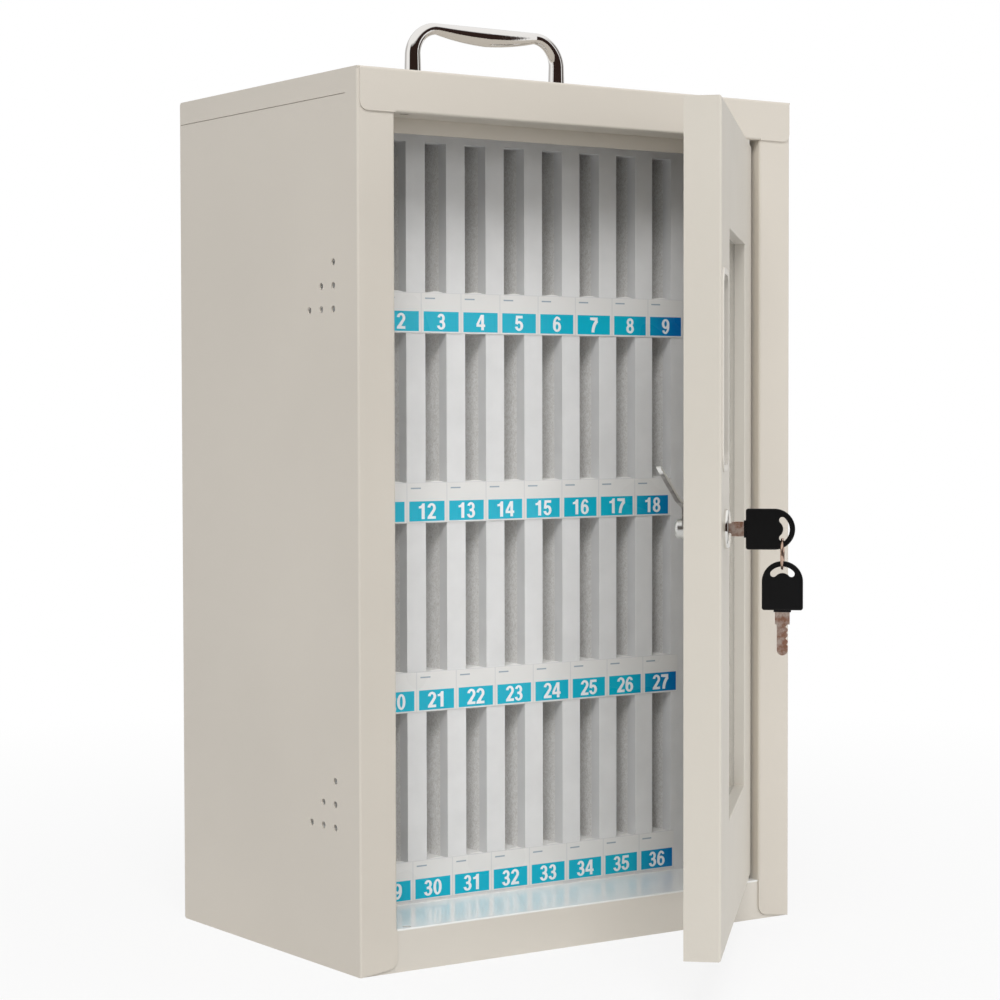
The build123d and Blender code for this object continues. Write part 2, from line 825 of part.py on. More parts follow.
def rack_back_board():
    board = block(rack_left, rack_right, slot_rear, rack_rear, floor_top, rack_top)
    for x, z in rack_screw_places():
        board -= inward(rack_screw_radius, x, z, slot_rear - overshoot, rack_rear + overshoot)
    return board


# ---- carrying handle and its ears ---------------------------------------------------
handle_half = handle_span / 2
pivot_z = case_height + handle_pivot_height
ear_outer = handle_half - leg_foot_radius - ear_gap
ear_inner = ear_outer - ear_width


def ear_rivet_places():
    x = ear_inner - (ear_base_width - ear_width) / 2
    y = ear_depth / 2 - rivet_head_radius - rivet_edge
    return [(side * x, hand * y) for side in (-1, 1) for hand in (-1, 1)]


def handle_ear():
    base_x = ear_outer - ear_base_width
    foot = block(base_x, ear_outer, -ear_depth / 2, ear_depth / 2, case_height, case_height + ear_base)
    foot = fillet(foot.edges().filter_by(Axis.Z), ear_base)
    radius = ear_depth / 2
    post = block(ear_inner, ear_outer, -radius, radius, case_height + ear_base / 2, pivot_z)
    post += rod(radius, (ear_inner, 0, pivot_z), (ear_outer, 0, pivot_z))
    bore = rod(trunnion_radius + trunnion_running_gap, (ear_inner - overshoot, 0, pivot_z),
               (ear_outer + overshoot, 0, pivot_z))
    ear = foot + post - bore
    for x, y in ear_rivet_places():
        if x > 0:
            ear -= upright(rivet_radius, x, y, case_height - overshoot, case_height + ear_base + overshoot)
    return ear


def ear_rivets():
    rivets = []
    for x, y in ear_rivet_places():
        low = case_height - sheet
        high = case_height + ear_base
        shank = upright(rivet_radius, x, y, low, high)
        head = upright(rivet_head_radius, x, y, high, high + rivet_head)
        tail = upright(rivet_head_radius, x, y, low, low - rivet_tail)
        rivets.append(shank + fillet(head.edges().group_by(Axis.Z)[-1], rivet_head_round) + tail)
    return rivets


def handle_section(x, z, direction, radius):
    """One round section of the handle, square to its centre line."""
    return Plane(origin=(x, 0, z), x_dir=(0, 1, 0), z_dir=direction) * Circle(radius)


def carry_handle():
    """A bail that is fat in the middle of its grip, thin at its corners and wider at its feet."""
    top_z = case_height + handle_top
    neck_z = top_z - grip_neck_radius
    corner_x = handle_half - handle_corner
    grip = [
        handle_section(0, top_z - grip_middle_radius, (1, 0, 0), grip_middle_radius),
        handle_section(corner_x / 2, top_z - grip_quarter_radius, (1, 0, 0), grip_quarter_radius),
        handle_section(corner_x, neck_z, (1, 0, 0), grip_neck_radius),
    ]
    bend = []
    for step in range(1, handle_bend_steps):
        share = step / handle_bend_steps
        turn = radians(90 * share)
        swell = grip_neck_radius + (leg_radius - grip_neck_radius) * share
        x = corner_x + handle_corner * sin(turn)
        z = neck_z - handle_corner * (1 - cos(turn))
        bend.append(handle_section(x, z, (cos(turn), 0, -sin(turn)), swell))
    leg_top = neck_z - handle_corner
    leg = [
        handle_section(handle_half, leg_top, (0, 0, -1), leg_radius),
        handle_section(handle_half, pivot_z, (0, 0, -1), leg_foot_radius),
    ]
    side = loft(grip) + loft([grip[2], *bend, leg[0]]) + loft(leg)
    foot = Pos(handle_half, 0, pivot_z) * Sphere(leg_foot_radius)
    trunnion = rod(trunnion_radius, (handle_half, 0, pivot_z), (ear_inner - trunnion_end, 0, pivot_z))
    side = side + foot + trunnion
    return side + mirrored(side)


# ---- write every node -----------------------------------------------------------------
save("top_panel", top_panel())
save("right_panel", right_panel())
save("left_panel", mirrored(right_panel()))
save("floor_panel", floor_panel())
save("base_cover", base_cover())
save("back_panel", back_panel())

save("door_skin", swung(door_skin()))
save("door_liner", swung(door_liner()))
save("door_studs", *[swung(stud) for stud in door_studs()])
save("door_screws", *[swung(screw) for screw in door_screws()])
save("window_pane", swung(window_pane()))
save("window_gasket", swung(window_gasket()))
save("finger_pull", swung(finger_pull()))
save("hinge_pins", *[swung(pin) for pin in hinge_pins()])
save("pivot_blocks", *[swung(body) for body in pivot_blocks()])
save("hinge_bushes", *hinge_bushes())
save("stop_bumpers", *stop_bumpers())

save("lock_barrel", swung(lock_barrel()))
save("lock_nut", swung(lock_nut()))
save("lock_plug", swung(lock_plug()))
save("lock_cam", swung(lock_cam()))
save("cam_screw", swung(cam_screw()))
save("key_bow", swung(key_bow(main_frame)))
save("key_blade", swung(key_blade(main_frame)))
save("key_ring", swung(key_ring()))
save("spare_key_bow", swung(key_bow(spare_frame)))
save("spare_key_blade", swung(key_blade(spare_frame)))

save("slats_upper", *slats(slat_seam_z, top_slot_z))
save("slats_lower", *slats(floor_top, slat_seam_z))
save("partitions", *partitions())
save("felt_left_faces", *felt_sheets(0))
save("felt_right_faces", *felt_sheets(1))
save("end_packers", *end_packers())
for row in range(row_count):
    save(f"slot_floors_row_{row_count - row}", *slot_floors(row))
    save(f"label_strip_row_{row_count - row}", label_strip(row))
save("top_rail", front_board(rack_left, rack_right_end, top_slot_z, rack_top))
save("left_filler", front_board(rack_left, first_rib_x, floor_top, top_slot_z))
save("right_filler", front_board(last_rib_x, rack_right_end, floor_top, top_slot_z))
save("left_board", block(rack_left, first_rib_x, slat_rear, slot_rear, floor_top, rack_top))
save("right_board", block(last_rib_x, rack_right, slat_rear, slot_rear, floor_top, rack_top))
save("rack_back_board", rack_back_board())
save("rack_screws", *rack_screws())

save("handle_ears", handle_ear(), mirrored(handle_ear()))
save("ear_rivets", *ear_rivets())
save("carry_handle", carry_handle())
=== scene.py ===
import math

import bmesh
import bpy
from mathutils import Euler, Matrix, Vector


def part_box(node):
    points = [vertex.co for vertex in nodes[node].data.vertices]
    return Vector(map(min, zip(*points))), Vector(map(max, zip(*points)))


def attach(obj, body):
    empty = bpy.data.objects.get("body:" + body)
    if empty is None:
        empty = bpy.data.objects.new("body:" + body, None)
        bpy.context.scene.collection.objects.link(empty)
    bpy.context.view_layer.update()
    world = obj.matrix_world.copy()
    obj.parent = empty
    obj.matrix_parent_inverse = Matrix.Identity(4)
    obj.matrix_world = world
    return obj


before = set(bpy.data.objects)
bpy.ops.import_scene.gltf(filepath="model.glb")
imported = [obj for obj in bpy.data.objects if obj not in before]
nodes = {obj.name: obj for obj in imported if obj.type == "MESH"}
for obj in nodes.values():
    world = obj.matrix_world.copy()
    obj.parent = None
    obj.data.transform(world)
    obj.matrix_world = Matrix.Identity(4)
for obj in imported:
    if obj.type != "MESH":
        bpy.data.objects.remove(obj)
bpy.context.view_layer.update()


# ---- Steel case ------------------------------------------------------------------------
# Cold-rolled sheet, punched and folded into a lid, two side panels, a back and a
# base. Each is sprayed with warm light grey powder and baked, which leaves a fine
# orange-peel surface.

def colour(red, green, blue):
    """A display colour of 0 to 255 as the shader's linear values."""
    linear = [((level / 255 + 0.055) / 1.055) ** 2.4 if level > 10 else level / 3295
              for level in (red, green, blue)]
    return (*linear, 1)


def shade(base, share):
    """A colour made darker, or lighter up to white, by a share of itself."""
    return tuple(min(1, level * share) for level in base[:3]) + (1,)


def feed(tree, socket, value):
    """Set a socket to a plain value, or join it to another node's output."""
    if isinstance(value, bpy.types.NodeSocket):
        tree.links.new(value, socket)
    else:
        socket.default_value = value


def add(tree, kind, **inputs):
    """One node with its inputs fed. An input without a name of its own is i0, i1 or i2."""
    node = tree.nodes.new("ShaderNode" + kind)
    for name, value in inputs.items():
        numbered = name[0] == "i" and name[1:].isdigit()
        feed(tree, node.inputs[int(name[1:])] if numbered else node.inputs[name], value)
    return node


def maths(tree, operation, *values):
    """The value of one sum on numbers or sockets."""
    node = tree.nodes.new("ShaderNodeMath")
    node.operation = operation
    for socket, value in zip(node.inputs, values):
        feed(tree, socket, value)
    return node.outputs[0]


def blend_colours(tree, share, first, second):
    """A colour between two, by a share from 0 to 1."""
    node = tree.nodes.new("ShaderNodeMix")
    node.data_type = "RGBA"
    factor, colour_a, colour_b, mixed = 0, 6, 7, 2
    for number, value in ((factor, share), (colour_a, first), (colour_b, second)):
        feed(tree, node.inputs[number], value)
    return node.outputs[mixed]


def ramp(tree, value, low, high, low_out=0.0, high_out=1.0):
    """A value stretched from one range to another, and clamped."""
    node = add(tree, "MapRange", Value=value)
    for socket, number in zip(list(node.inputs)[1:5], (low, high, low_out, high_out)):
        socket.default_value = number
    return node.outputs[0]


def new_group(name, inputs, outputs):
    """An effect with named inputs and outputs, for use in several finishes."""
    group = bpy.data.node_groups.new(name, "ShaderNodeTree")
    for title, kind, value in inputs:
        socket = group.interface.new_socket(title, in_out="INPUT", socket_type="NodeSocket" + kind)
        socket.default_value = value
    for title, kind in outputs:
        group.interface.new_socket(title, in_out="OUTPUT", socket_type="NodeSocket" + kind)
    given = group.nodes.new("NodeGroupInput").outputs
    out = group.nodes.new("NodeGroupOutput").inputs
    return group, given, out


def use(tree, group, **inputs):
    """Place an effect in a finish, with its own values."""
    node = tree.nodes.new("ShaderNodeGroup")
    node.node_tree = group
    for name, value in inputs.items():
        feed(tree, node.inputs[name.replace("_", " ")], value)
    return node.outputs


def new_finish(name, **sockets):
    """A material and the tree and shader inside it."""
    material = bpy.data.materials.new(name)
    material.use_nodes = True
    tree = material.node_tree
    shader = tree.nodes["Principled BSDF"]
    for title, value in sockets.items():
        shader.inputs[title.replace("_", " ")].default_value = value
    place = tree.nodes.new("ShaderNodeTexCoord").outputs["Object"]
    return material, tree, shader, place


def finish_with(tree, shader, **sockets):
    """Join sockets to the shader's inputs."""
    for title, value in sockets.items():
        tree.links.new(value, shader.inputs[title.replace("_", " ")])


def dress(material, *names):
    """Give CAD nodes a finish in every material slot."""
    for name in names:
        for slot in nodes[name].material_slots:
            slot.link = "OBJECT"
            slot.material = material


ripple_depth = 0.00008
grit_depth = 0.00002


def orange_peel():
    """The soft ripple of a baked powder coat, with fine grit in it."""
    group, given, out = new_group(
        "orange_peel",
        [("Place", "Vector", (0, 0, 0)), ("Ripple", "Float", 0.5), ("Grit", "Float", 0.5)],
        [("Normal", "Vector")])
    ripple = add(group, "TexNoise", Vector=given["Place"], Scale=420, Detail=2,
                 Roughness=0.45).outputs[0]
    grit = add(group, "TexNoise", Vector=given["Place"], Scale=2600, Detail=1).outputs[0]
    rippled = add(group, "Bump", Strength=given["Ripple"], Distance=ripple_depth, Height=ripple)
    gritty = add(group, "Bump", Strength=given["Grit"], Distance=grit_depth, Height=grit,
                 Normal=rippled.outputs[0])
    group.links.new(gritty.outputs[0], out["Normal"])
    return group


def handling_marks():
    """Wide, faint patches where hands and cloths have changed the gloss."""
    group, given, out = new_group(
        "handling_marks",
        [("Place", "Vector", (0, 0, 0)), ("Scale", "Float", 9.0), ("Amount", "Float", 0.5)],
        [("Mask", "Float")])
    wide = add(group, "TexNoise", Vector=given["Place"], Scale=given["Scale"], Detail=5,
               Roughness=0.6)
    centred = maths(group, "SUBTRACT", ramp(group, wide.outputs[0], 0.35, 0.65), 0.5)
    group.links.new(maths(group, "MULTIPLY", centred, given["Amount"]), out["Mask"])
    return group


peel = orange_peel()
marks = handling_marks()


def powder_coat(name, base, roughness, ripple=0.5, grit=0.5, tone=0.06, mirror=0.45):
    """Baked powder, a little uneven in tone and in gloss."""
    material, tree, shader, place = new_finish(name, Specular_IOR_Level=mirror)
    surface = use(tree, peel, Place=place, Ripple=ripple, Grit=grit)
    gloss = use(tree, marks, Place=place, Scale=8.0, Amount=0.10)["Mask"]
    cloud = add(tree, "TexNoise", Vector=place, Scale=3.5, Detail=3).outputs[0]
    tint = blend_colours(tree, ramp(tree, cloud, 0.3, 0.7), shade(base, 1 - tone),
                         shade(base, 1 + tone / 2))
    finish_with(tree, shader, Base_Color=tint, Roughness=maths(tree, "ADD", gloss, roughness),
                Normal=surface["Normal"])
    return material


case_coat = powder_coat("case_powder_coat", colour(214, 207, 196), 0.42)
dress(case_coat, "top_panel", "left_panel", "right_panel", "back_panel", "base_cover")


# ---- Floor panel -----------------------------------------------------------------------
# The raised floor and front rail, folded from one sheet. It has the same powder as
# the case, but lies flat in the oven and cures smoother, so it mirrors the labels.
# The floor above the fold is painted paler than the rail, as painted light.

fold_start = 0.0012
fold_end = 0.0004


def recolour(material, mask, second):
    """Lay a second colour over a finish's own, where a mask of its tree is 1."""
    tree = material.node_tree
    shader = tree.nodes["Principled BSDF"]
    own = shader.inputs["Base Color"].links[0].from_socket
    finish_with(tree, shader, Base_Color=blend_colours(tree, mask, own, second))


def floor_powder():
    """The floor's powder, with painted light making it paler above the fold where the rail begins.
    """
    material = powder_coat("floor_powder_coat", colour(217, 211, 201), 0.2, ripple=0.15,
                           grit=0.15, mirror=0.8)
    tree = material.node_tree
    place = tree.nodes.new("ShaderNodeTexCoord").outputs["Object"]
    height = add(tree, "SeparateXYZ", Vector=place).outputs["Z"]
    floor_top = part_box("floor_panel")[1].z
    painted_light_floor = ramp(tree, height, floor_top - fold_start, floor_top - fold_end)
    # Painted light: the floor above the fold is coloured paler than the rail.
    recolour(material, painted_light_floor, colour(246, 247, 246))
    return material


dress(floor_powder(), "floor_panel")


# ---- Door ------------------------------------------------------------------------------
# A folded steel tray with a window cut in it, and a second tray screwed inside. Both
# are powder coated before they are put together.

door_coat = powder_coat("door_powder_coat", colour(214, 208, 197), 0.40)
dress(door_coat, "door_skin", "door_liner")


# ---- Window ----------------------------------------------------------------------------
# A clear acrylic sheet, clamped against a black foam strip from behind. Fine wiping
# scratches break up its gloss.

def clear_acrylic():
    """Clear sheet with fine upright wiping scratches."""
    material, tree, shader, place = new_finish("clear_acrylic", Transmission_Weight=1.0, IOR=1.49,
                                               Specular_IOR_Level=0.5)
    wipes = add(tree, "Mapping", Vector=place, Scale=(160, 160, 14)).outputs[0]
    streak = add(tree, "TexNoise", Vector=wipes, Scale=1.0, Detail=4, Roughness=0.7).outputs[0]
    tint = blend_colours(tree, ramp(tree, streak, 0.3, 0.7), (0.975, 0.985, 0.98, 1),
                         (0.995, 0.995, 0.995, 1))
    finish_with(tree, shader, Base_Color=tint, Roughness=ramp(tree, streak, 0.5, 0.8, 0.02, 0.09))
    return material


def soft_rubber(name, base, roughness):
    """Foam or silicone with open pores."""
    material, tree, shader, place = new_finish(name, Specular_IOR_Level=0.35)
    pores = add(tree, "TexVoronoi", Vector=place, Scale=2200).outputs[0]
    cloud = add(tree, "TexNoise", Vector=place, Scale=260, Detail=3).outputs[0]
    bump = add(tree, "Bump", Strength=0.35, Distance=0.00006, Height=pores)
    finish_with(tree, shader, Base_Color=blend_colours(tree, cloud, shade(base, 0.8), base),
                Roughness=ramp(tree, cloud, 0.3, 0.7, roughness - 0.06, roughness + 0.06),
                Normal=bump.outputs[0])
    return material


dress(clear_acrylic(), "window_pane")
dress(soft_rubber("gasket_foam", colour(46, 46, 46), 0.85), "window_gasket")


# ---- Finger pull -----------------------------------------------------------------------
# A moulded cup pressed into the door from the front. Its rim has the door's colour;
# the cup below it is painted darker, as painted shade in the recess, and has a fine matt texture.

def moulded_shell(name, base, roughness, grain_scale=1500, mirror=0.5):
    """Moulded plastic with the fine grain of its mould."""
    material, tree, shader, place = new_finish(name, Specular_IOR_Level=mirror)
    grain = add(tree, "TexVoronoi", Vector=place, Scale=grain_scale).outputs[0]
    cloud = add(tree, "TexNoise", Vector=place, Scale=24, Detail=4).outputs[0]
    bump = add(tree, "Bump", Strength=0.3, Distance=0.00005, Height=grain)
    finish_with(tree, shader, Base_Color=blend_colours(tree, cloud, shade(base, 0.94), base),
                Roughness=ramp(tree, cloud, 0.3, 0.7, roughness - 0.05, roughness + 0.08),
                Normal=bump.outputs[0])
    return material


open_angle = math.radians(46.4)
rim_back = 0.0028
cup_start = 0.0034


def pull_shell():
    """The shell's plastic, with painted shade where it lies behind the door's face."""
    material = moulded_shell("pull_shell", colour(226, 221, 212), 0.34)
    tree = material.node_tree
    inward = Vector((-math.sin(open_angle), math.cos(open_angle), 0))
    place = tree.nodes.new("ShaderNodeTexCoord").outputs["Object"]
    rim_front = min(corner.co.dot(inward) for corner in nodes["finger_pull"].data.vertices)
    depth = add(tree, "VectorMath", i0=place, i1=inward)
    depth.operation = "DOT_PRODUCT"
    painted_shade = ramp(tree, depth.outputs["Value"], rim_front + rim_back, rim_front + cup_start)
    # Painted shade: the cup behind the rim is coloured dark grey.
    recolour(material, painted_shade, colour(128, 122, 116))
    return material


dress(pull_shell(), "finger_pull")


# ---- Bumpers and pivot bushes ----------------------------------------------------------
# Clear silicone dots stuck on the lip that the door closes against, and turned nylon
# bushes that the pivot pins run in.

dress(soft_rubber("bumper_silicone", colour(205, 205, 200), 0.4), "stop_bumpers")
dress(moulded_shell("bush_nylon", colour(228, 226, 218), 0.45), "hinge_bushes")


# ---- Small steel hardware --------------------------------------------------------------
# Pins, blocks, studs, nuts, screws and the lock's cam: turned or stamped steel with a
# thin zinc plate, which dulls in patches and shows the rolling lines.

def zinc_plate(name, base, roughness):
    """Zinc with a spangle of patches and rolling lines."""
    material, tree, shader, place = new_finish(name, Metallic=1.0)
    lines = add(tree, "Mapping", Vector=place, Scale=(900, 900, 6000)).outputs[0]
    brush = add(tree, "TexNoise", Vector=lines, Scale=1.0, Detail=2).outputs[0]
    spangle = add(tree, "TexVoronoi", Vector=place, Scale=420).outputs["Color"]
    patch = add(tree, "SeparateColor", Color=spangle).outputs[0]
    bump = add(tree, "Bump", Strength=0.15, Distance=0.00002, Height=brush)
    finish_with(tree, shader, Base_Color=blend_colours(tree, patch, shade(base, 0.82), base),
                Roughness=ramp(tree, patch, 0, 1, roughness - 0.06, roughness + 0.08),
                Normal=bump.outputs[0])
    return material


zinc = zinc_plate("zinc_plate", colour(205, 205, 200), 0.30)
dress(zinc, "door_studs", "door_screws", "hinge_pins", "pivot_blocks", "lock_nut", "rack_screws",
      "ear_rivets")
dress(zinc_plate("cam_plate", colour(232, 232, 228), 0.34), "lock_cam", "cam_screw")


# ---- Chrome ----------------------------------------------------------------------------
# The handle, its ears, the lock's head and plug and the key ring are polished and
# chrome plated. The plate shows faint waves of the casting and a few dull prints.

wave_depth = 0.0004


def chrome_plate(name, base, roughness=0.06):
    """Polished chrome, faintly waved, with a warmer tone in the hollows."""
    material, tree, shader, place = new_finish(name, Metallic=1.0)
    waves = add(tree, "TexNoise", Vector=place, Scale=70, Detail=1).outputs[0]
    prints = use(tree, marks, Place=place, Scale=45.0, Amount=0.10)["Mask"]
    pits = add(tree, "TexNoise", Vector=place, Scale=1400, Detail=2).outputs[0]
    bump = add(tree, "Bump", Strength=0.10, Distance=wave_depth, Height=waves)
    fine = add(tree, "Bump", Strength=0.02, Distance=0.00002, Height=pits, Normal=bump.outputs[0])
    warm = tuple(level * share for level, share in zip(base[:3], (1.0, 0.985, 0.96))) + (1,)
    finish_with(tree, shader, Base_Color=blend_colours(tree, waves, base, warm),
                Roughness=maths(tree, "MAXIMUM", maths(tree, "ADD", prints, roughness), 0.02),
                Normal=fine.outputs[0])
    return material


chrome = chrome_plate("bright_chrome", colour(232, 230, 228))
dress(chrome, "carry_handle", "handle_ears")
dress(chrome_plate("lock_chrome", colour(236, 235, 232), 0.12), "lock_barrel", "lock_plug")
dress(chrome_plate("ring_chrome", colour(206, 176, 158), 0.22), "key_ring")


# ---- Keys ------------------------------------------------------------------------------
# Stamped brass blanks with a thin nickel plate that lets the brass through, and black
# nylon bows moulded over them, with a fine spark-eroded grain.

def nickelled_brass():
    """Brass that shows through worn nickel, scratched along the blade."""
    material, tree, shader, place = new_finish("nickelled_brass", Metallic=1.0)
    worn = add(tree, "TexNoise", Vector=place, Scale=230, Detail=5, Roughness=0.65).outputs[0]
    scratches = add(tree, "Mapping", Vector=place, Scale=(3000, 3000, 240)).outputs[0]
    lines = add(tree, "TexNoise", Vector=scratches, Scale=1.0, Detail=2).outputs[0]
    bump = add(tree, "Bump", Strength=0.25, Distance=0.00003, Height=lines)
    plate = blend_colours(tree, ramp(tree, worn, 0.40, 0.6), colour(186, 140, 118),
                          colour(236, 218, 206))
    finish_with(tree, shader, Base_Color=plate, Roughness=ramp(tree, worn, 0.3, 0.7, 0.52, 0.36),
                Normal=bump.outputs[0])
    return material


dress(nickelled_brass(), "key_blade", "spare_key_blade")
nylon = moulded_shell("key_nylon", colour(7, 7, 8), 0.4, grain_scale=2600, mirror=0.3)
dress(nylon, "key_bow", "spare_key_bow")


# ---- Phone rack boards -----------------------------------------------------------------
# White closed-cell foam board, cut into slats, partitions, side boards and slot floors
# and glued together. The saw leaves fine pores and the skin is a little uneven.

slot_rows = (1, 2, 3, 4)


def foam_board(name, base, roughness=0.55):
    """Foam with fine pores and a slow swell of its skin."""
    material, tree, shader, place = new_finish(name, Specular_IOR_Level=0.3)
    pores = add(tree, "TexVoronoi", Vector=place, Scale=1700).outputs[0]
    swell = add(tree, "TexNoise", Vector=place, Scale=60, Detail=3).outputs[0]
    swollen = add(tree, "Bump", Strength=0.25, Distance=0.0002, Height=swell)
    bump = add(tree, "Bump", Strength=0.25, Distance=0.00005, Height=pores,
               Normal=swollen.outputs[0])
    tint = blend_colours(tree, ramp(tree, swell, 0.3, 0.7), shade(base, 0.94), base)
    finish_with(tree, shader, Base_Color=tint,
                Roughness=ramp(tree, swell, 0.3, 0.7, roughness - 0.05, roughness + 0.08),
                Normal=bump.outputs[0])
    return material


board = foam_board("foam_board", colour(232, 232, 232))
dress(board, "slats_upper", "slats_lower", "partitions", "top_rail", "left_filler", "right_filler",
      "left_board", "right_board", "rack_back_board")
dress(foam_board("slot_floor_board", colour(238, 237, 235), 0.45),
      *[f"slot_floors_row_{row}" for row in slot_rows])


# ---- Felt ------------------------------------------------------------------------------
# Pale needle felt glued to both faces of each partition, so that phones slide in
# without marks. Light and dark fibres give it a fine speckle.

def needle_felt():
    """Short fibres, most of them upright, with a few larger tufts."""
    material, tree, shader, place = new_finish("needle_felt", Roughness=0.95,
                                               Specular_IOR_Level=0.15, Sheen_Weight=1.0,
                                               Sheen_Roughness=0.45)
    lying = add(tree, "Mapping", Vector=place, Scale=(1700, 1700, 900)).outputs[0]
    fibres = add(tree, "TexNoise", Vector=lying, Scale=1.0, Detail=3, Roughness=0.8).outputs[0]
    tufts = add(tree, "TexNoise", Vector=place, Scale=420, Detail=3).outputs[0]
    both = maths(tree, "ADD", maths(tree, "MULTIPLY", fibres, 0.75),
                 maths(tree, "MULTIPLY", tufts, 0.25))
    bump = add(tree, "Bump", Strength=0.8, Distance=0.0004, Height=both)
    speckle = blend_colours(tree, ramp(tree, both, 0.38, 0.62), colour(216, 213, 208),
                            colour(255, 255, 254))
    finish_with(tree, shader, Base_Color=speckle, Normal=bump.outputs[0])
    return material


dress(needle_felt(), "felt_left_faces", "felt_right_faces", "end_packers")


# ---- Label strips ----------------------------------------------------------------------
# A printed film in front of each row's slot floors: a white card for each slot with a
# blue number box and a small grey line for a name. Each strip is stuck on a little
# further left or right than the next.

pitch = 0.0278
box_width = 0.0245
box_height = 0.01165
box_below_top = 0.0110
card_border = 0.0013
card_top, card_bottom = 0.0004, 0.0232
name_left, name_right = 0.0010, 0.0080
name_top, name_bottom = 0.0030, 0.0038
# Where painted shade darkens the blue number boxes, from left to right.
painted_shade_from, painted_shade_to = 0.075, 0.112
first_box_x = {1: -0.1302, 2: -0.1405, 3: -0.1342, 4: -0.1372}
columns = 9


def inside(tree, value, low, high, soft=0.00006):
    """1 between two values, with a printed edge's softness."""
    rise = ramp(tree, value, low - soft, low + soft)
    fall = ramp(tree, value, high - soft, high + soft, 1.0, 0.0)
    return maths(tree, "MULTIPLY", rise, fall)


def printed_film(row):
    """A row's cards, name lines and number boxes, printed on one glossy film, with painted shade
    turning the boxes a darker blue towards the right end.
    """
    material, tree, shader, place = new_finish(f"label_film_row_{row}", Specular_IOR_Level=0.3)
    strip_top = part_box(f"label_strip_row_{row}")[1].z
    axes = add(tree, "SeparateXYZ", Vector=place).outputs
    along = maths(tree, "SUBTRACT", axes["X"], first_box_x[row])
    part = maths(tree, "FRACT", maths(tree, "DIVIDE", along, pitch))
    within = maths(tree, "MULTIPLY", part, pitch)
    down = maths(tree, "SUBTRACT", strip_top, axes["Z"])
    number_box = maths(tree, "MULTIPLY", inside(tree, within, 0, box_width),
                       inside(tree, down, box_below_top, box_below_top + box_height))
    shifted = maths(tree, "MODULO", maths(tree, "ADD", within, card_border), pitch)
    card = maths(tree, "MULTIPLY", inside(tree, shifted, 0, box_width + 2 * card_border),
                 inside(tree, down, card_top, card_bottom))
    name_line = maths(tree, "MULTIPLY", inside(tree, within, name_left, name_right),
                      inside(tree, down, name_top, name_bottom))
    # Painted shade: the boxes towards the right end of each row are coloured a darker blue.
    painted_shade = ramp(tree, axes["X"], painted_shade_from, painted_shade_to)
    blue = blend_colours(tree, painted_shade, colour(0, 180, 208), colour(0, 112, 184))
    cloud = add(tree, "TexNoise", Vector=place, Scale=14, Detail=2).outputs[0]
    film = blend_colours(tree, cloud, colour(214, 214, 214), colour(222, 222, 222))
    paper = blend_colours(tree, card, film, colour(231, 230, 228))
    lined = blend_colours(tree, name_line, paper, colour(158, 172, 184))
    printed = blend_colours(tree, number_box, lined, blue)
    grain = add(tree, "TexNoise", Vector=place, Scale=1800, Detail=1).outputs[0]
    bump = add(tree, "Bump", Strength=0.12, Distance=0.00001, Height=grain)
    finish_with(tree, shader, Base_Color=printed, Roughness=ramp(tree, cloud, 0.3, 0.7, 0.24, 0.34),
                Normal=bump.outputs[0])
    return material


def white_ink():
    """The white of the numbers, a little uneven where the ink is thin."""
    material, tree, shader, place = new_finish("white_ink", Roughness=0.35)
    cloud = add(tree, "TexNoise", Vector=place, Scale=300, Detail=2).outputs[0]
    tint = blend_colours(tree, cloud, colour(238, 241, 244), colour(250, 251, 252))
    finish_with(tree, shader, Base_Color=tint)
    return material


digit_height = 0.0091
digit_stretch = 1.17
digit_step = 0.71
digit_shift = 0.015
digit_raise = 0.00012
ink = white_ink()


def arc(middle_x, middle_y, radius_x, radius_y, start, end, steps):
    """Points along part of an ellipse, from one angle in degrees to another."""
    turns = [math.radians(start + (end - start) * step / steps) for step in range(steps + 1)]
    return [(middle_x + radius_x * math.cos(t), middle_y + radius_y * math.sin(t)) for t in turns]


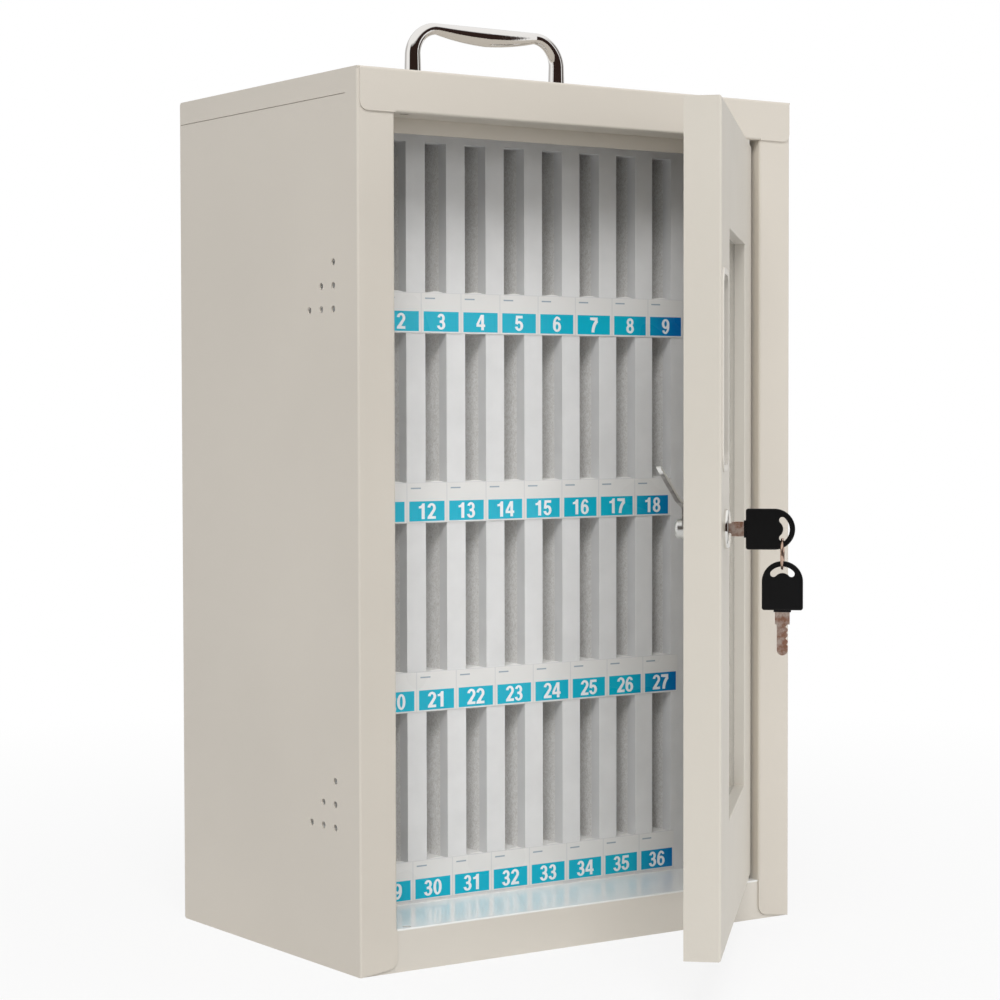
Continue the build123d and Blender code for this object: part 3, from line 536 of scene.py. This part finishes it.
def bold_figures():
    """The outlines of ten plain bold figures, 1 high, each with its holes after its outside."""
    six = [[*arc(0.30, 0.72, 0.255, 0.29, 12, 98, 10), *arc(0.36, 0.50, 0.335, 0.53, 110, 180, 10),
            *arc(0.30, 0.325, 0.275, 0.335, 182, 468, 24), (0.205, 0.60),
            *arc(0.36, 0.62, 0.16, 0.25, 168, 110, 5), *arc(0.31, 0.73, 0.085, 0.135, 88, 10, 7)],
           arc(0.30, 0.32, 0.095, 0.185, 0, 344, 22)]
    return {
        "0": [arc(0.29, 0.5, 0.27, 0.51, 0, 352, 40),
              arc(0.29, 0.5, 0.095, 0.365, 0, 350, 32)],
        "1": [[(0.24, 0), (0.44, 0), (0.44, 1), (0.29, 1), *arc(0.06, 1.0, 0.21, 0.18, -10, -90, 6),
               (0.06, 0.69), (0.24, 0.69)]],
        "2": [[*arc(0.29, 0.70, 0.27, 0.31, 172, -28, 20), (0.30, 0.17), (0.56, 0.17), (0.56, 0),
               (0.02, 0), (0.03, 0.13), *arc(0.29, 0.70, 0.095, 0.16, -30, 172, 14)]],
        "3": [[*arc(0.28, 0.735, 0.24, 0.275, 168, -38, 18),
               *arc(0.28, 0.285, 0.27, 0.295, 48, -170, 20),
               *arc(0.28, 0.275, 0.09, 0.145, -172, 84, 16), (0.19, 0.42), (0.19, 0.575),
               *arc(0.28, 0.725, 0.075, 0.14, -84, 168, 14)]],
        "4": [[(0.33, 0), (0.51, 0), (0.51, 0.22), (0.59, 0.22), (0.59, 0.38), (0.51, 0.38),
               (0.51, 1), (0.31, 1), (0.01, 0.40), (0.01, 0.22), (0.33, 0.22)],
              [(0.33, 0.38), (0.17, 0.38), (0.33, 0.72)]],
        "5": [[(0.08, 1), (0.53, 1), (0.53, 0.83), (0.22, 0.83), (0.20, 0.63),
               *arc(0.28, 0.335, 0.28, 0.33, 100, -168, 24),
               *arc(0.28, 0.33, 0.10, 0.175, -168, 150, 18),
               (0.03, 0.46)]],
        "6": six,
        "7": [[(0.03, 1), (0.56, 1), (0.56, 0.84),
               *arc(0.86, 0.0, 0.53, 0.80, 122, 180, 10), (0.13, 0),
               *arc(0.76, 0.02, 0.63, 0.95, 180, 126, 8), (0.03, 0.83)]],
        "8": [[*arc(0.29, 0.735, 0.245, 0.275, -42, 222, 24),
               *arc(0.29, 0.285, 0.275, 0.295, 130, 410, 28)],
              arc(0.29, 0.725, 0.085, 0.125, 0, 344, 22), arc(0.29, 0.29, 0.10, 0.145, 0, 344, 22)],
        "9": [[(0.59 - x, 1.0 - y) for x, y in loop] for loop in six],
    }


figures = bold_figures()


def row_numbers(row):
    """The nine printed numbers of a row, as one thin mesh in front of its strip."""
    low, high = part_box(f"label_strip_row_{row}")
    base_z = high.z - box_below_top - (box_height + digit_height) / 2
    outlines = bpy.data.curves.new("numbers", "CURVE")
    outlines.dimensions = "2D"
    outlines.fill_mode = "BOTH"
    outlines.extrude = digit_raise / 2
    for column in range(columns):
        number = str((row - 1) * columns + column + 1)
        middle_x = first_box_x[row] + column * pitch + box_width / 2
        for order, figure in enumerate(number):
            steps = (order - len(number) / 2) * digit_step + digit_shift
            start_x = middle_x + digit_height * steps
            for loop in figures[figure]:
                spline = outlines.splines.new("POLY")
                spline.points.add(len(loop) - 1)
                spline.use_cyclic_u = True
                for point, (x, y) in zip(spline.points, loop):
                    point.co = (start_x + x * digit_height * digit_stretch,
                                base_z + y * digit_height, 0, 1)
    holder = bpy.data.objects.new("numbers", outlines)
    mesh = bpy.data.meshes.new_from_object(holder)
    bpy.data.objects.remove(holder)
    upright = Euler((math.pi / 2, 0, 0)).to_matrix().to_4x4()
    mesh.transform(Matrix.Translation((0, low.y, 0)) @ upright)
    mesh.name = f"numbers_row_{row}"
    piece = bpy.data.objects.new(f"numbers_row_{row}", mesh)
    bpy.context.scene.collection.objects.link(piece)
    mesh.materials.clear()
    mesh.materials.append(ink)
    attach(piece, "cabinet")


for row in slot_rows:
    dress(printed_film(row), f"label_strip_row_{row}")
    row_numbers(row)


# ---- Studio ----------------------------------------------------------------------------
# A white floor under the box and a white surround, which the camera sees behind it.
# Two large soft lamps stand in front, and polished metal sees white screens and the
# dark side of the room from which the picture is taken.

floor_radius = 1.5
fade_from, fade_to = 0.25, 1.1
near_white, full_white = 0.84, 1.0


def studio_floor():
    """A round floor that fades to white for the camera and still takes the box's shadow."""
    bm = bmesh.new()
    bmesh.ops.create_circle(bm, cap_ends=True, segments=96, radius=floor_radius)
    mesh = bpy.data.meshes.new("studio_floor")
    bm.to_mesh(mesh)
    bm.free()
    piece = bpy.data.objects.new("studio_floor", mesh)
    bpy.context.scene.collection.objects.link(piece)
    material = bpy.data.materials.new("studio_white")
    material.use_nodes = True
    tree = material.node_tree
    shader = tree.nodes["Principled BSDF"]
    shader.inputs["Base Color"].default_value = (0.8, 0.8, 0.8, 1)
    shader.inputs["Roughness"].default_value = 0.9
    shader.inputs["Specular IOR Level"].default_value = 0.1
    glow = add(tree, "Emission", Color=(1, 1, 1, 1), Strength=1.0).outputs[0]
    path = tree.nodes.new("ShaderNodeLightPath").outputs
    seen = maths(tree, "MAXIMUM", path["Is Camera Ray"], path["Is Transmission Ray"])
    place = tree.nodes.new("ShaderNodeTexCoord").outputs["Object"]
    away = add(tree, "VectorMath", i0=place)
    away.operation = "LENGTH"
    white = ramp(tree, away.outputs["Value"], fade_from, fade_to, near_white, full_white)
    mix = add(tree, "MixShader", Fac=maths(tree, "MULTIPLY", seen, white), i1=shader.outputs[0],
              i2=glow)
    tree.links.new(mix.outputs[0], tree.nodes["Material Output"].inputs["Surface"])
    mesh.materials.append(material)


plain_white = (1, 1, 1, 1)
dark_room = (0.03, 0.017, 0.014, 1)
grey_band = (0.12, 0.1, 0.09, 1)
light_from_below, light_from_above = 0.3, 0.54


def studio_world():
    """White for the camera, soft light for the box, and screens in a dark room for the chrome."""
    world = bpy.data.worlds.new("studio")
    bpy.context.scene.world = world
    world.use_nodes = True
    tree = world.node_tree
    path = tree.nodes.new("ShaderNodeLightPath").outputs
    direction = tree.nodes.new("ShaderNodeTexCoord").outputs["Generated"]
    axes = add(tree, "SeparateXYZ", Vector=direction).outputs
    bearing = maths(tree, "ARCTAN2", axes["X"], axes["Y"])
    low = ramp(tree, axes["Z"], 0.66, 0.5)
    in_front = ramp(tree, axes["Y"], 0.15, -0.25)
    wide_screen = inside(tree, bearing, -1.75, -0.85, 0.05)
    narrow_screen = inside(tree, bearing, 2.1, 2.35, 0.03)
    no_screen = maths(tree, "SUBTRACT", 1.0, maths(tree, "ADD", wide_screen, narrow_screen))
    dark = maths(tree, "MULTIPLY", maths(tree, "MULTIPLY", in_front, low), no_screen)
    band = maths(tree, "MULTIPLY", inside(tree, bearing, -0.8, 1.9, 0.1),
                 inside(tree, axes["Z"], -0.05, 0.5, 0.08))
    room = blend_colours(tree, dark, plain_white, dark_room)
    room = blend_colours(tree, maths(tree, "MULTIPLY", band, 0.45), room, grey_band)
    mirrored = maths(tree, "SUBTRACT", path["Is Glossy Ray"], path["Is Transmission Ray"])
    bright = maths(tree, "MAXIMUM", path["Is Camera Ray"], path["Is Transmission Ray"])
    bright = maths(tree, "MAXIMUM", bright, path["Is Glossy Ray"])
    soft = ramp(tree, axes["Z"], -0.3, 0.1, light_from_below, light_from_above)
    background = tree.nodes["Background"]
    seen = blend_colours(tree, mirrored, plain_white, room)
    tree.links.new(seen, background.inputs["Color"])
    tree.links.new(maths(tree, "MAXIMUM", bright, soft), background.inputs["Strength"])


def lamp(name, place, target, size, power):
    """A soft lamp that points at a target and isn't itself seen or mirrored."""
    light = bpy.data.lights.new(name, "AREA")
    light.shape = "RECTANGLE"
    light.size, light.size_y = size
    light.energy = power
    holder = bpy.data.objects.new(name, light)
    bpy.context.scene.collection.objects.link(holder)
    holder.location = place
    holder.visible_glossy = False
    holder.visible_camera = False
    holder.rotation_euler = (Vector(target) - Vector(place)).to_track_quat("-Z", "Y").to_euler()


studio_floor()
studio_world()
lamp("key_lamp", place=(-2.05, -3.05, 3.55), target=(0, 0, 0.25), size=(2.4, 2.0), power=136)
lamp("front_right_lamp", place=(1.5, -1.8, 0.5), target=(0, 0, 0.15), size=(0.6, 1.2), power=10)


# ---- Camera ----------------------------------------------------------------------------
# A long lens at the height of the box's middle, to the front left, as the photograph
# was taken.

view_from = Vector((-0.8838, -1.2949, 0.3115))
turn = math.radians(34.61)
tilt = math.radians(1.98)
lean = math.radians(-0.12)
lens = bpy.data.cameras.new("camera")
lens.sensor_width = 36
lens.lens = 91.94
camera = bpy.data.objects.new("camera", lens)
bpy.context.scene.collection.objects.link(camera)
camera.location = view_from
looking = Vector((math.sin(turn) * math.cos(tilt), math.cos(turn) * math.cos(tilt),
                  -math.sin(tilt)))
aimed = looking.to_track_quat("-Z", "Y") @ Euler((0, 0, lean)).to_quaternion()
camera.rotation_euler = aimed.to_euler()
bpy.context.scene.camera = camera
bpy.context.scene.view_settings.view_transform = "Standard"
